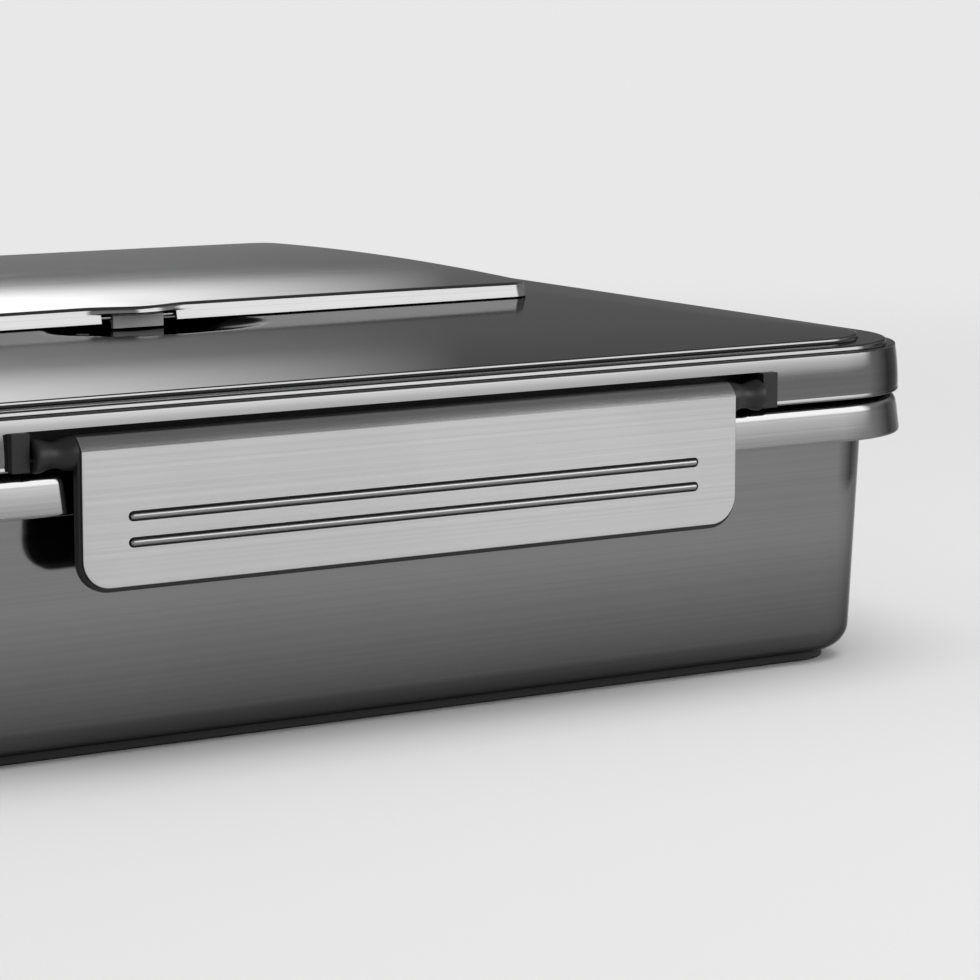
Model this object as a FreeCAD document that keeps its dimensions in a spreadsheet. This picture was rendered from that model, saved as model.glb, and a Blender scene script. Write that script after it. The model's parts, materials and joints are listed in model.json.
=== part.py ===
"""Clip-lid metal lunch box with a covered cutlery tray in its lid.

Millimetres, +Z up. The origin is on the table under the middle of the box, and the front is at -Y.
The cover is nearer the back than the front.
"""
import FreeCAD, Part
import math
import os
import re

import Sketcher

# Driving sizes, in millimetres.
SIZES = {
    # lid outline, from which the container, the frame and the seals are inset
    "lid_width": 216.0,
    "lid_length": 216.0,
    "lid_corner": 21.0,
    "sheet": 0.6,             # thickness of the pressed steel
    "cut_margin": 1.0,        # how far a cutting shape runs past what it cuts
    # container
    "foot_height": 1.6,
    "foot_width": 8.0,
    "foot_corner": 8.5,
    "rim_height": 46.6,       # table to the top of the container's flange
    "collar_drop": 6.6,       # how far the flange is turned down
    "collar_proud": 0.25,     # the collar stands this far outside the lid
    "collar_round": 2.0,
    "wall_inset": 6.2,        # the wall is this far behind the lid's side, at the rim
    "wall_lean": 1.9,         # and it leans in this much from the rim to the base
    "base_round": 4.5,
    # lid shell
    "lid_gap": 0.5,           # rim to the lid's lower edge
    "skirt_height": 9.0,      # lower edge to the rim of the lid
    "lid_round": 2.2,
    "groove_inset": 3.8,
    "groove_width": 2.4,
    "groove_depth": 0.4,
    "panel_inset": 7.2,
    "panel_rise": 0.8,
    "panel_round": 0.4,
    # finger scoop in front of the cover
    "scoop_half_width": 23.0,
    "scoop_half_length": 13.5,
    "scoop_depth": 1.4,
    "scoop_rise": 1.0,        # the scoop's centre is this far above the panel
    "scoop_lead": 6.0,        # and this far in front of the cover
    # moulded frame inside the lid, with its plug and gasket
    "frame_width": 9.4,
    "plug_depth": 5.0,        # below the rim
    "plug_gap": 1.1,          # plug to the container's mouth
    "gasket_gap": 0.6,        # gasket to the container's mouth
    "gasket_seat": 1.0,       # depth of the gasket's groove
    "gasket_height": 2.3,
    "gasket_ledge": 1.0,      # plug left under the gasket
    # clip notches and hinges
    "notch_length": 141.0,
    "notch_height": 5.9,
    "lug_width": 3.0,
    "lug_proud": 1.2,         # the lugs stand this far outside the lid's side
    "bay_depth": 5.4,
    "hinge_rise": 1.6,        # hinge axis above the lid's lower edge
    "hinge_inset": 0.2,       # hinge axis behind the lid's side
    "pin_radius": 0.75,
    "pin_grip": 2.5,          # length of pin in each lug
    "running_gap": 0.05,      # radial clearance of everything that turns on a pin
    # clips
    "clip_length": 121.2,
    "clip_reach": 4.0,        # hinge axis to the front face and to the rounded top
    "clip_thickness": 2.5,
    "clip_drop": 20.5,        # hinge axis to the lower edge
    "clip_corner": 5.0,
    "clip_edge": 0.5,
    "knuckle_radius": 1.7,
    "boss_radius": 2.6,
    "boss_length": 6.5,       # boss beyond each end of the clip
    "boss_shift": 0.7,        # boss centre ahead of and above the axis
    "rib_length": 104.5,
    "rib_width": 1.2,
    "rib_height": 0.5,
    "rib_drop": 9.1,          # hinge axis to the upper rib
    "rib_pitch": 4.0,
    "catch_length": 100.0,
    "catch_height": 1.5,
    "catch_gap": 0.4,         # catch below the collar's edge
    "catch_clearance": 0.15,  # catch outside the collar, until the clip is pressed home
    # cutlery compartment
    "cover_setback": 35.0,    # middle of the box to the middle of the cover
    "cover_width": 167.8,
    "cover_length": 102.0,
    "cover_corner": 5.0,
    "cover_height": 3.1,      # panel to the cover's flat ceiling and wall
    "cover_dome": 1.0,        # the middle of the cover rises this much above its front edge
    "cover_wall": 0.8,
    "cover_gap": 0.1,         # cover above the lid's panel
    "cover_round": 0.4,
    "window_width": 15.0,
    "lip_width": 22.0,
    "lip_reach": 2.5,
    "lip_thickness": 1.2,
    "tray_margin": 5.0,       # cover's outline to the tray's flange
    "tray_flange": 3.5,
    "tray_corner": 8.0,
    "tray_depth": 18.0,
    "tray_round": 3.0,
    "tray_gap": 0.3,          # tray wall to the lid's opening
    # tab in the cover's window
    "tab_width": 10.0,
    "tab_thickness": 1.0,
    "tab_knuckle": 0.9,
    "tab_drop": 1.9,          # below its axis
    "tab_inset": 1.4,         # axis behind the cover's front
    "tab_headroom": 0.3,
    "tab_pin_radius": 0.4,
    "cheek_width": 1.5,
    "cheek_depth": 2.6,
    # back hinges of the cover
    "leaf_offset": 52.0,      # middle of the box to the middle of each hinge
    "leaf_length": 46.0,
    "leaf_depth": 9.5,
    "leaf_thickness": 0.5,
    "leaf_knuckle": 12.0,
    "barrel_radius": 1.1,
    "barrel_setback": 2.2,    # axis behind the cover
    "barrel_rise": 1.25,      # axis above the panel
    "barrel_pin_radius": 0.5,
    "barrel_play": 0.3,       # end play between knuckles
}

# Expressions that several pieces share.
LIP = "(rim_height + lid_gap)"
LID_RIM = f"({LIP} + skirt_height)"
PANEL = f"({LID_RIM} + panel_rise)"
CEILING = f"({LID_RIM} - groove_depth - sheet)"
AXIS = f"({LIP} + hinge_rise)"
COLLAR_EDGE = "(rim_height - collar_drop)"
MOUTH = "(wall_inset + sheet)"
PLUG = f"({MOUTH} + plug_gap)"
FRAME_INSIDE = "(sheet + frame_width)"
PLUG_FOOT = "(rim_height - plug_depth)"
GASKET_FOOT = f"({PLUG_FOOT} + gasket_ledge)"
BASE_INSET = "(wall_inset + wall_lean)"
DRAFT = "atan(wall_lean / (rim_height - foot_height))"
COVER_TOP = f"({PANEL} + cover_height)"
DOME_TOP = f"({COVER_TOP} + cover_dome)"
# The next three are measured from the middle of the cover.
COVER_FRONT = "(-cover_length / 2)"
TAB_Y = f"({COVER_FRONT} + tab_inset)"
BARREL_Y = "(cover_length / 2 + barrel_setback)"
BARREL_Z = f"({PANEL} + barrel_rise)"
TRAY_EDGE = "(tray_margin + tray_flange)"
TAB_Z = f"({COVER_TOP} - cover_wall - tab_headroom - tab_knuckle)"
BAY_LENGTH = "(notch_length - 2 * lug_width)"
PIN_LENGTH = f"({BAY_LENGTH} + 2 * pin_grip)"

# The middle of each side of the lid, in X and Y.
SIDES = {
    "front": ("0", "-lid_length / 2"),
    "right": ("lid_width / 2", "0"),
    "back": ("0", "lid_length / 2"),
    "left": ("-lid_width / 2", "0"),
}
# The sign of X on either hand.
HANDS = {"left": "-", "right": ""}

UP = FreeCAD.Vector(0, 0, 1)
TO_X = FreeCAD.Rotation(UP, FreeCAD.Vector(1, 0, 0))
TO_FRONT = FreeCAD.Rotation(UP, FreeCAD.Vector(0, -1, 0))
LEVEL_TOLERANCE = 1e-4

doc = FreeCAD.newDocument("lunch_box")
sheet = doc.addObject("Spreadsheet::Sheet", "Sizes")
for row, (alias, size) in enumerate(SIZES.items(), start=1):
    sheet.set(f"A{row}", alias)
    sheet.set(f"B{row}", str(size))
    sheet.setAlias(f"B{row}", alias)
doc.recompute()


def expression(text):
    """Point each size named in the text at its cell in the sheet."""
    return re.sub(r"[a-z_]+", lambda word: f"Sizes.{word[0]}" if word[0] in SIZES else word[0], text)


def value(text):
    """The present value of an expression."""
    result = sheet.evalExpression(expression(text))
    return float(getattr(result, "Value", result))


def bind(thing, **properties):
    """Bind properties to expressions; a double underscore stands for a dot."""
    for name, text in properties.items():
        thing.setExpression(name.replace("__", "."), expression(text))


def place(thing, x="0", y="0", z="0", rotation=FreeCAD.Rotation()):
    """Place a body or a primitive, with its position bound to the sheet."""
    thing.Placement = FreeCAD.Placement(FreeCAD.Vector(value(x), value(y), value(z)), rotation)
    bind(thing, Placement__Base__x=x, Placement__Base__y=y, Placement__Base__z=z)


def new_body(label):
    body = doc.addObject("PartDesign::Body", label)
    body.Label = label
    return body


def cover_body(label):
    """A body whose own middle is under the middle of the cover."""
    body = new_body(label)
    place(body, y="cover_setback")
    return body


def new_sketch(body, name, role="XY_Plane", level="0", setback="0"):
    """A sketch on one of the body's own planes, raised to a level and moved back."""
    sketch = body.newObject("Sketcher::SketchObject", f"{body.Name}_{name}")
    plane = next(feature for feature in body.Origin.OriginFeatures if feature.Role == role)
    sketch.AttachmentSupport = (plane, "")
    sketch.MapMode = "FlatFace"
    bind(sketch, AttachmentOffset__Base__y=setback, AttachmentOffset__Base__z=level)
    return sketch


def add_rounded_rectangle(sketch, width, length, corner):
    """Draw a centred rectangle with round corners, its size bound to expressions."""
    half_x = value(width) / 2
    half_y = value(length) / 2
    radius = value(corner)
    in_x = half_x - radius
    in_y = half_y - radius
    first = sketch.GeometryCount
    sides = [
        ((-in_x, -half_y), (in_x, -half_y), (in_x, -in_y)),
        ((half_x, -in_y), (half_x, in_y), (in_x, in_y)),
        ((in_x, half_y), (-in_x, half_y), (-in_x, in_y)),
        ((-half_x, in_y), (-half_x, -in_y), (-in_x, -in_y)),
    ]
    for quarter, (start, end, centre) in enumerate(sides):
        sketch.addGeometry(Part.LineSegment(FreeCAD.Vector(*start, 0), FreeCAD.Vector(*end, 0)))
        circle = Part.Circle(FreeCAD.Vector(*centre, 0), UP, radius)
        from_angle = (quarter - 1) * math.pi / 2
        sketch.addGeometry(Part.ArcOfCircle(circle, from_angle, from_angle + math.pi / 2))
    for step in range(8):
        sketch.addConstraint(Sketcher.Constraint("Tangent", first + step, 2, first + (step + 1) % 8, 1))
    for step, direction in enumerate(("Horizontal", "Vertical", "Horizontal", "Vertical")):
        sketch.addConstraint(Sketcher.Constraint(direction, first + 2 * step))
    for step in (1, 3, 5):
        sketch.addConstraint(Sketcher.Constraint("Equal", first + step, first + step + 2))
    sketch.addConstraint(Sketcher.Constraint("Symmetric", first + 1, 3, first + 5, 3, -1, 1))
    bound = (
        (Sketcher.Constraint("DistanceX", first + 6, 1, first + 2, 1, 2 * half_x), width),
        (Sketcher.Constraint("DistanceY", first, 1, first + 4, 1, 2 * half_y), length),
        (Sketcher.Constraint("Radius", first + 1, radius), corner),
    )
    for constraint, text in bound:
        index = sketch.addConstraint(constraint)
        sketch.setExpression(f"Constraints[{index}]", expression(text))


def lid_outline(inset):
    """Width, length and corner of the lid's outline, moved in by an inset."""
    return f"lid_width - 2 * {inset}", f"lid_length - 2 * {inset}", f"lid_corner - {inset}"


def cover_outline(inset, corner):
    """Width and length of the cover's outline, moved in by an inset, with a corner of its own."""
    return f"cover_width - 2 * {inset}", f"cover_length - 2 * {inset}", corner


def grow(body, feature_type, name, sketch, length, **settings):
    """Pad or pocket a sketch, and check that the body gained or lost material."""
    before = body.Shape.Volume if not body.Shape.isNull() else 0.0
    feature = body.newObject(feature_type, f"{body.Name}_{name}")
    feature.Profile = sketch
    bind(feature, Length=length)
    for setting, content in settings.items():
        if isinstance(content, str):
            bind(feature, **{setting: content})
        else:
            setattr(feature, setting, content)
    sketch.Visibility = False
    doc.recompute()
    gained = body.Shape.Volume - before
    if (gained > 0) != (feature_type == "PartDesign::Pad"):
        raise RuntimeError(f"{feature.Name} changed the volume by {gained}")
    return feature


def slab(body, name, level, height, *outlines, **settings):
    """Pad one outline, or the ring between two."""
    sketch = new_sketch(body, f"{name}_outline", level=level)
    for outline in outlines:
        add_rounded_rectangle(sketch, *outline)
    return grow(body, "PartDesign::Pad", name, sketch, height, **settings)


def hollow(body, name, level, depth, *outlines, setback="0", **settings):
    """Pocket one outline, or the ring between two."""
    sketch = new_sketch(body, f"{name}_outline", level=level, setback=setback)
    for outline in outlines:
        add_rounded_rectangle(sketch, *outline)
    return grow(body, "PartDesign::Pocket", name, sketch, depth, **settings)


def round_edges(body, name, radius, chosen):
    """Fillet the body's edges for which chosen(edge) holds."""
    names = [f"Edge{i}" for i, edge in enumerate(body.Tip.Shape.Edges, start=1) if chosen(edge)]
    if not names:
        raise RuntimeError(f"{body.Label} has no edges for {name}")
    base = body.Tip
    fillet = body.newObject("PartDesign::Fillet", f"{body.Name}_{name}")
    fillet.Base = (base, names)
    bind(fillet, Radius=radius)
    doc.recompute()


def at_level(level):
    """A test for edges that lie at a height."""
    height = value(level)

    def chosen(edge):
        box = edge.BoundBox
        return max(abs(box.ZMin - height), abs(box.ZMax - height)) < LEVEL_TOLERANCE

    return chosen


def primitive(body, kind, name, x="0", y="0", z="0", rotation=FreeCAD.Rotation(), **sizes):
    """Add or cut a box, cylinder or ellipsoid; kind is such as AdditiveBox."""
    feature = body.newObject(f"PartDesign::{kind}", f"{body.Name}_{name}")
    bind(feature, **sizes)
    place(feature, x, y, z, rotation)
    doc.recompute()
    return feature


def centred_box(body, kind, name, x, y, z, length, width, height):
    """A box centred on x and y that stands on z."""
    return primitive(body, kind, name, f"{x} - ({length}) / 2", f"{y} - ({width}) / 2", z,
                     Length=length, Width=width, Height=height)


def rod(body, kind, name, x, y, z, length, radius):
    """A cylinder along X, centred on x."""
    return primitive(body, kind, name, f"{x} - ({length}) / 2", y, z, TO_X, Radius=radius, Height=length)


def side_turn(side):
    """The turn about Z that takes the front to a side."""
    x, y = SIDES[side]
    return FreeCAD.Rotation(FreeCAD.Vector(0, -1, 0), FreeCAD.Vector(value(x), value(y), 0))


def on_side(side, along, inwards):
    """X and Y of a point on a side: along it to the right, seen from outside, and in from its middle."""
    x, y = SIDES[side]
    turn = side_turn(side)
    to_right = turn.multVec(FreeCAD.Vector(1, 0, 0))
    to_inside = turn.multVec(FreeCAD.Vector(0, 1, 0))
    return tuple(f"{middle} + {round(right)} * ({along}) + {round(inside)} * ({inwards})"
                 for middle, right, inside in ((x, to_right.x, to_inside.x), (y, to_right.y, to_inside.y)))


def side_box(body, kind, name, side, level, length, depth, height, inwards="0"):
    """A box centred on a side, reaching in from a distance behind the lid's side plane."""
    x, y = on_side(side, f"-({length}) / 2", inwards)
    return primitive(body, kind, f"{name}_{side}", x, y, level, side_turn(side),
                     Length=length, Width=depth, Height=height)


def side_rod(body, kind, name, side, length, radius):
    """A cylinder on the hinge axis of a side's clip."""
    x, y = on_side(side, f"-({length}) / 2", "hinge_inset")
    return primitive(body, kind, f"{name}_{side}", x, y, AXIS, side_turn(side).multiply(TO_X),
                     Radius=radius, Height=length)


def side_body(label, side):
    """A body whose own X is the hinge axis of a side's clip, with -Y outwards."""
    body = new_body(label)
    x, y = on_side(side, "0", "hinge_inset")
    place(body, x, y, AXIS, side_turn(side))
    return body


def make_container():
    body = new_body("container")
    slab(body, "rim", COLLAR_EDGE, "collar_drop", lid_outline("-collar_proud"))
    round_edges(body, "shoulder", "collar_round", at_level("rim_height"))
    hollow(body, "collar_inside", COLLAR_EDGE, "collar_drop - sheet", lid_outline("(sheet - collar_proud)"),
           Reversed=True)
    slab(body, "basin", "rim_height", "rim_height - foot_height", lid_outline("wall_inset"),
         Reversed=True, TaperAngle=f"-{DRAFT}")
    hollow(body, "inside", "rim_height", "rim_height - foot_height - sheet", lid_outline(MOUTH),
           TaperAngle=f"-{DRAFT}")
    round_edges(body, "inside_edge", "base_round - sheet", at_level("foot_height + sheet"))
    round_edges(body, "base_edge", "base_round", at_level("foot_height"))


def make_base_foot():
    body = new_body("base_foot")
    outside = f"({BASE_INSET} + base_round)"
    inside = f"({outside} + foot_width)"
    outlines = [(f"lid_width - 2 * {inset}", f"lid_length - 2 * {inset}", "foot_corner")
                for inset in (outside, inside)]
    slab(body, "ring", "0", "foot_height", *outlines)
    round_edges(body, "lower_edge", "foot_height / 4", at_level("0"))


def make_lid_shell():
    body = new_body("lid_shell")
    slab(body, "skirt", LIP, "skirt_height", lid_outline("0"))
    round_edges(body, "rim_edge", "lid_round", at_level(LID_RIM))
    slab(body, "panel", LID_RIM, "panel_rise", lid_outline("panel_inset"))
    round_edges(body, "panel_edge", "panel_round", at_level(PANEL))
    hollow(body, "groove", LID_RIM, "groove_depth", lid_outline("groove_inset"),
           lid_outline("(groove_inset + groove_width)"))
    hollow(body, "underside", LIP, f"{CEILING} - {LIP}", lid_outline("sheet"), Reversed=True)
    hollow(body, "panel_underside", CEILING, f"{PANEL} - sheet - {CEILING}",
           lid_outline("(panel_inset + sheet)"), Reversed=True)
    scoop = {"y": f"cover_setback + {COVER_FRONT} - scoop_lead", "z": f"{PANEL} + scoop_rise"}
    depth = "scoop_rise + scoop_depth"
    primitive(body, "AdditiveEllipsoid", "scoop_bowl", **scoop, Radius1=f"{depth} + sheet",
              Radius2="scoop_half_width + sheet", Radius3="scoop_half_length + sheet")
    hollow(body, "above_panel", PANEL, f"{depth} + scoop_rise + sheet + panel_rise", lid_outline("0"),
           Reversed=True)
    primitive(body, "SubtractiveEllipsoid", "scoop", **scoop, Radius1=depth,
              Radius2="scoop_half_width", Radius3="scoop_half_length")
    hollow(body, "tray_opening", PANEL, f"{PANEL} - {CEILING}", cover_outline(TRAY_EDGE, "tray_corner"),
           setback="cover_setback")
    for side in SIDES:
        side_box(body, "SubtractiveBox", "notch", side, f"{LIP} - cut_margin", "notch_length",
                 "sheet + 2 * cut_margin", "notch_height + cut_margin", inwards="-cut_margin")


def make_lid_frame():
    body = new_body("lid_frame")
    inside = lid_outline(FRAME_INSIDE)
    slab(body, "ring", LIP, f"{CEILING} - {LIP}", lid_outline("sheet"), inside)
    seat = f"({PLUG} + gasket_seat)"
    slab(body, "plug_upper", f"{GASKET_FOOT} + gasket_height", f"{LIP} - {GASKET_FOOT} - gasket_height",
         lid_outline(PLUG), inside)
    slab(body, "plug_neck", GASKET_FOOT, "gasket_height", lid_outline(seat), inside)
    slab(body, "plug_ledge", PLUG_FOOT, "gasket_ledge", lid_outline(PLUG), inside)
    for side in SIDES:
        side_box(body, "AdditiveBox", "lugs", side, LIP, "notch_length", "lug_proud + sheet + bay_depth",
                 "notch_height", inwards="-lug_proud")
        side_box(body, "SubtractiveBox", "bay", side, LIP, BAY_LENGTH, "cut_margin + lug_proud + bay_depth",
                 "notch_height", inwards="-(cut_margin + lug_proud)")
        side_rod(body, "SubtractiveCylinder", "pin_hole", side, PIN_LENGTH, "pin_radius")


def make_lid_gasket():
    body = new_body("lid_gasket")
    slab(body, "ring", GASKET_FOOT, "gasket_height", lid_outline(f"({MOUTH} + gasket_gap)"),
         lid_outline(f"({PLUG} + gasket_seat)"))


def make_clip(side):
    """A plate with a rounded head that turns on its pin, two ribs in front and a boss at each end."""
    body = side_body(f"clip_{side}", side)
    profile = new_sketch(body, "profile", role="YZ_Plane")
    front = -value("clip_reach")
    rear = front + value("clip_thickness")
    top = value("clip_reach")
    foot = -value("clip_drop")
    knuckle = value("knuckle_radius")
    origin = FreeCAD.Vector(0, 0, 0)
    corners = [(0, top), (0, knuckle), (0, -knuckle), (rear, -knuckle), (rear, foot), (front, foot),
               (front, 0)]
    points = [FreeCAD.Vector(*corner, 0) for corner in corners]
    profile.addGeometry(Part.LineSegment(points[0], points[1]))
    profile.addGeometry(Part.ArcOfCircle(Part.Circle(origin, UP, knuckle), -math.pi / 2, math.pi / 2))
    for start, end in zip(points[2:-1], points[3:]):
        profile.addGeometry(Part.LineSegment(start, end))
    profile.addGeometry(Part.ArcOfCircle(Part.Circle(origin, UP, top), math.pi / 2, math.pi))
    back_line, knuckle_arc, step_line, rear_line, foot_line, front_line, head_arc = range(7)
    joins = [(back_line, 2, knuckle_arc, 2), (knuckle_arc, 1, step_line, 1), (step_line, 2, rear_line, 1),
             (rear_line, 2, foot_line, 1), (foot_line, 2, front_line, 1), (front_line, 2, head_arc, 2),
             (head_arc, 1, back_line, 1)]
    for join in joins:
        profile.addConstraint(Sketcher.Constraint("Coincident", *join))
    for arc in (knuckle_arc, head_arc):
        profile.addConstraint(Sketcher.Constraint("Coincident", arc, 3, -1, 1))
    for line in (step_line, foot_line):
        profile.addConstraint(Sketcher.Constraint("Horizontal", line))
    for line in (rear_line, front_line):
        profile.addConstraint(Sketcher.Constraint("Vertical", line))
    for line, end in ((back_line, 1), (back_line, 2), (step_line, 1)):
        profile.addConstraint(Sketcher.Constraint("PointOnObject", line, end, -2))
    profile.addConstraint(Sketcher.Constraint("PointOnObject", front_line, 2, -1))
    bound = (
        (Sketcher.Constraint("Radius", knuckle_arc, knuckle), "knuckle_radius"),
        (Sketcher.Constraint("Radius", head_arc, top), "clip_reach"),
        (Sketcher.Constraint("DistanceX", front_line, 1, rear_line, 2, rear - front), "clip_thickness"),
        (Sketcher.Constraint("DistanceY", front_line, 1, front_line, 2, -foot), "clip_drop"),
    )
    for constraint, text in bound:
        index = profile.addConstraint(constraint)
        profile.setExpression(f"Constraints[{index}]", expression(text))
    grow(body, "PartDesign::Pad", "plate", profile, "clip_length", Midplane=True)
    round_edges(body, "corners", "clip_corner", is_clip_corner)
    round_edges(body, "front_edges", "clip_edge", is_clip_front)
    rod(body, "AdditiveCylinder", "bosses", "0", "-boss_shift", "boss_shift", "clip_length + 2 * boss_length",
        "boss_radius")
    for number in (0, 1):
        drop = f"(rib_drop + {number} * rib_pitch)"
        straight = "(rib_length - rib_width)"
        centred_box(body, "AdditiveBox", f"rib_{number}", "0", "-clip_reach", f"-{drop} - rib_width / 2",
                    straight, "2 * rib_height", "rib_width")
        for hand, sign in HANDS.items():
            primitive(body, "AdditiveCylinder", f"rib_{number}_{hand}_end", f"{sign}{straight} / 2",
                      "-clip_reach + rib_height", f"-{drop}", TO_FRONT,
                      Radius="rib_width / 2", Height="2 * rib_height")
    rod(body, "SubtractiveCylinder", "pin_hole", "0", "0", "0", "clip_length + 4 * boss_length",
        "pin_radius + running_gap")


def is_clip_corner(edge):
    """The two lower corners of a clip, as edges that run through its thickness."""
    middle = edge.CenterOfMass
    return (edge.BoundBox.YLength > value("clip_thickness") / 2 and edge.BoundBox.XLength < LEVEL_TOLERANCE
            and abs(middle.z + value("clip_drop")) < LEVEL_TOLERANCE)


def is_clip_front(edge):
    """The front outline of a clip, below its hinge axis."""
    box = edge.BoundBox
    on_front = max(abs(box.YMin + value("clip_reach")), abs(box.YMax + value("clip_reach"))) < LEVEL_TOLERANCE
    return on_front and box.ZMin < -LEVEL_TOLERANCE


def make_catch(side):
    """The strip behind a clip that goes under the collar when the clip is pressed home."""
    body = side_body(f"catch_{side}", side)
    rear = "-clip_reach + clip_thickness"
    tip = "-hinge_inset - collar_proud - catch_clearance"
    top = f"{COLLAR_EDGE} - {AXIS} - catch_gap"
    primitive(body, "AdditiveBox", "strip", "-catch_length / 2", rear, f"{top} - catch_height",
              Length="catch_length", Width=f"{tip} - ({rear})", Height="catch_height")


def make_clip_pin(side):
    body = side_body(f"clip_pin_{side}", side)
    rod(body, "AdditiveCylinder", "wire", "0", "0", "0", PIN_LENGTH, "pin_radius")


def make_cutlery_tray():
    body = cover_body("cutlery_tray")
    slab(body, "flange", PANEL, "sheet", cover_outline("tray_margin", "tray_corner"))
    wall = f"({TRAY_EDGE} + tray_gap)"
    slab(body, "well", f"{PANEL} + sheet", "tray_depth + sheet",
         cover_outline(wall, "tray_corner - tray_gap"), Reversed=True)
    hollow(body, "inside", f"{PANEL} + sheet", "tray_depth",
           cover_outline(f"({wall} + sheet)", "tray_corner - tray_gap - sheet"))
    round_edges(body, "inside_edge", "tray_round - sheet", at_level(f"{PANEL} - tray_depth + sheet"))
    round_edges(body, "floor_edge", "tray_round", at_level(f"{PANEL} - tray_depth"))


def trim_to_dome(body):
    """Cut away everything above a shallow arc from the front edge of the cover to its back edge."""
    sketch = new_sketch(body, "dome_section", role="YZ_Plane")
    radius_text = "((cover_length / 2)^2 + cover_dome^2) / (2 * cover_dome)"
    radius = value(radius_text)
    apex = value(DOME_TOP)
    reach = value("cover_length / 2 + lip_reach + cut_margin")
    turn = math.asin(reach / radius)
    rim = apex - radius + radius * math.cos(turn)
    ceiling = apex + value("cut_margin")
    circle = Part.Circle(FreeCAD.Vector(0, apex - radius, 0), UP, radius)
    sketch.addGeometry(Part.ArcOfCircle(circle, math.pi / 2 - turn, math.pi / 2 + turn))
    frame = ((-reach, rim), (-reach, ceiling), (reach, ceiling), (reach, rim))
    corners = [FreeCAD.Vector(y, z, 0) for y, z in frame]
    for one, other in zip(corners[:-1], corners[1:]):
        sketch.addGeometry(Part.LineSegment(one, other))
    dome_arc, front_line, top_line, back_line = range(4)
    joins = [(dome_arc, 2, front_line, 1), (front_line, 2, top_line, 1), (top_line, 2, back_line, 1),
             (back_line, 2, dome_arc, 1)]
    for join in joins:
        sketch.addConstraint(Sketcher.Constraint("Coincident", *join))
    for line in (front_line, back_line):
        sketch.addConstraint(Sketcher.Constraint("Vertical", line))
    sketch.addConstraint(Sketcher.Constraint("Symmetric", top_line, 1, top_line, 2, -2))
    sketch.addConstraint(Sketcher.Constraint("PointOnObject", dome_arc, 3, -2))
    bound = (
        (Sketcher.Constraint("Radius", dome_arc, radius), radius_text),
        (Sketcher.Constraint("DistanceY", dome_arc, 3, -1, 1, radius - apex), f"{radius_text} - {DOME_TOP}"),
        (Sketcher.Constraint("DistanceX", top_line, 1, top_line, 2, 2 * reach),
         "cover_length + 2 * lip_reach + 2 * cut_margin"),
        (Sketcher.Constraint("DistanceY", -1, 1, top_line, 1, ceiling), f"{DOME_TOP} + cut_margin"),
    )
    for constraint, text in bound:
        index = sketch.addConstraint(constraint)
        sketch.setExpression(f"Constraints[{index}]", expression(text))
    grow(body, "PartDesign::Pocket", "dome", sketch, "cover_width + 2 * cut_margin", Midplane=True)


def is_cover_top(edge):
    """The upper outline of the cover and its lip."""
    return edge.BoundBox.ZMin > value(f"{COVER_TOP} - cover_wall")


def make_compartment_cover():
    body = cover_body("compartment_cover")
    foot = f"({PANEL} + cover_gap)"
    slab(body, "cap", foot, f"{DOME_TOP} - {foot}", cover_outline("0", "cover_corner"))
    lip_radius = "((lip_width / 2)^2 + lip_reach^2) / (2 * lip_reach)"
    primitive(body, "AdditiveCylinder", "finger_lip", "0", f"{COVER_FRONT} - lip_reach + {lip_radius}",
              f"{COVER_TOP} - lip_thickness", Radius=lip_radius, Height="lip_thickness + cover_dome")
    trim_to_dome(body)
    round_edges(body, "top_edge", "cover_round", is_cover_top)
    hollow(body, "inside", foot, "cover_height - cover_gap - cover_wall",
           cover_outline("cover_wall", "cover_corner - cover_wall"), Reversed=True)
    centred_box(body, "SubtractiveBox", "window", "0", COVER_FRONT, foot, "window_width",
                "2 * cover_wall", "cover_height - cover_gap - lip_thickness")
    cheek_x = "(window_width + cheek_width) / 2"
    for hand, sign in HANDS.items():
        centred_box(body, "AdditiveBox", f"cheek_{hand}", f"{sign}{cheek_x}",
                    f"{COVER_FRONT} + cheek_depth / 2", foot, "cheek_width", "cheek_depth",
                    "cover_height - cover_gap")
    rod(body, "SubtractiveCylinder", "tab_pin_hole", "0", TAB_Y, TAB_Z, "window_width + 2 * cheek_width",
        "tab_pin_radius")
    knuckle = "(leaf_length - 2 * leaf_knuckle - 2 * barrel_play)"
    for hand, sign in HANDS.items():
        middle = f"{sign}leaf_offset"
        centred_box(body, "AdditiveBox", f"arm_{hand}", middle,
                    f"{BARREL_Y} - barrel_setback / 2 - cover_wall / 4", f"{BARREL_Z} - barrel_radius / 2",
                    knuckle, "barrel_setback + cover_wall / 2", "barrel_radius")
        rod(body, "AdditiveCylinder", f"knuckle_{hand}", middle, BARREL_Y, BARREL_Z, knuckle, "barrel_radius")
        rod(body, "SubtractiveCylinder", f"hinge_hole_{hand}", middle, BARREL_Y, BARREL_Z, "leaf_length",
            "barrel_pin_radius + running_gap")


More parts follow.
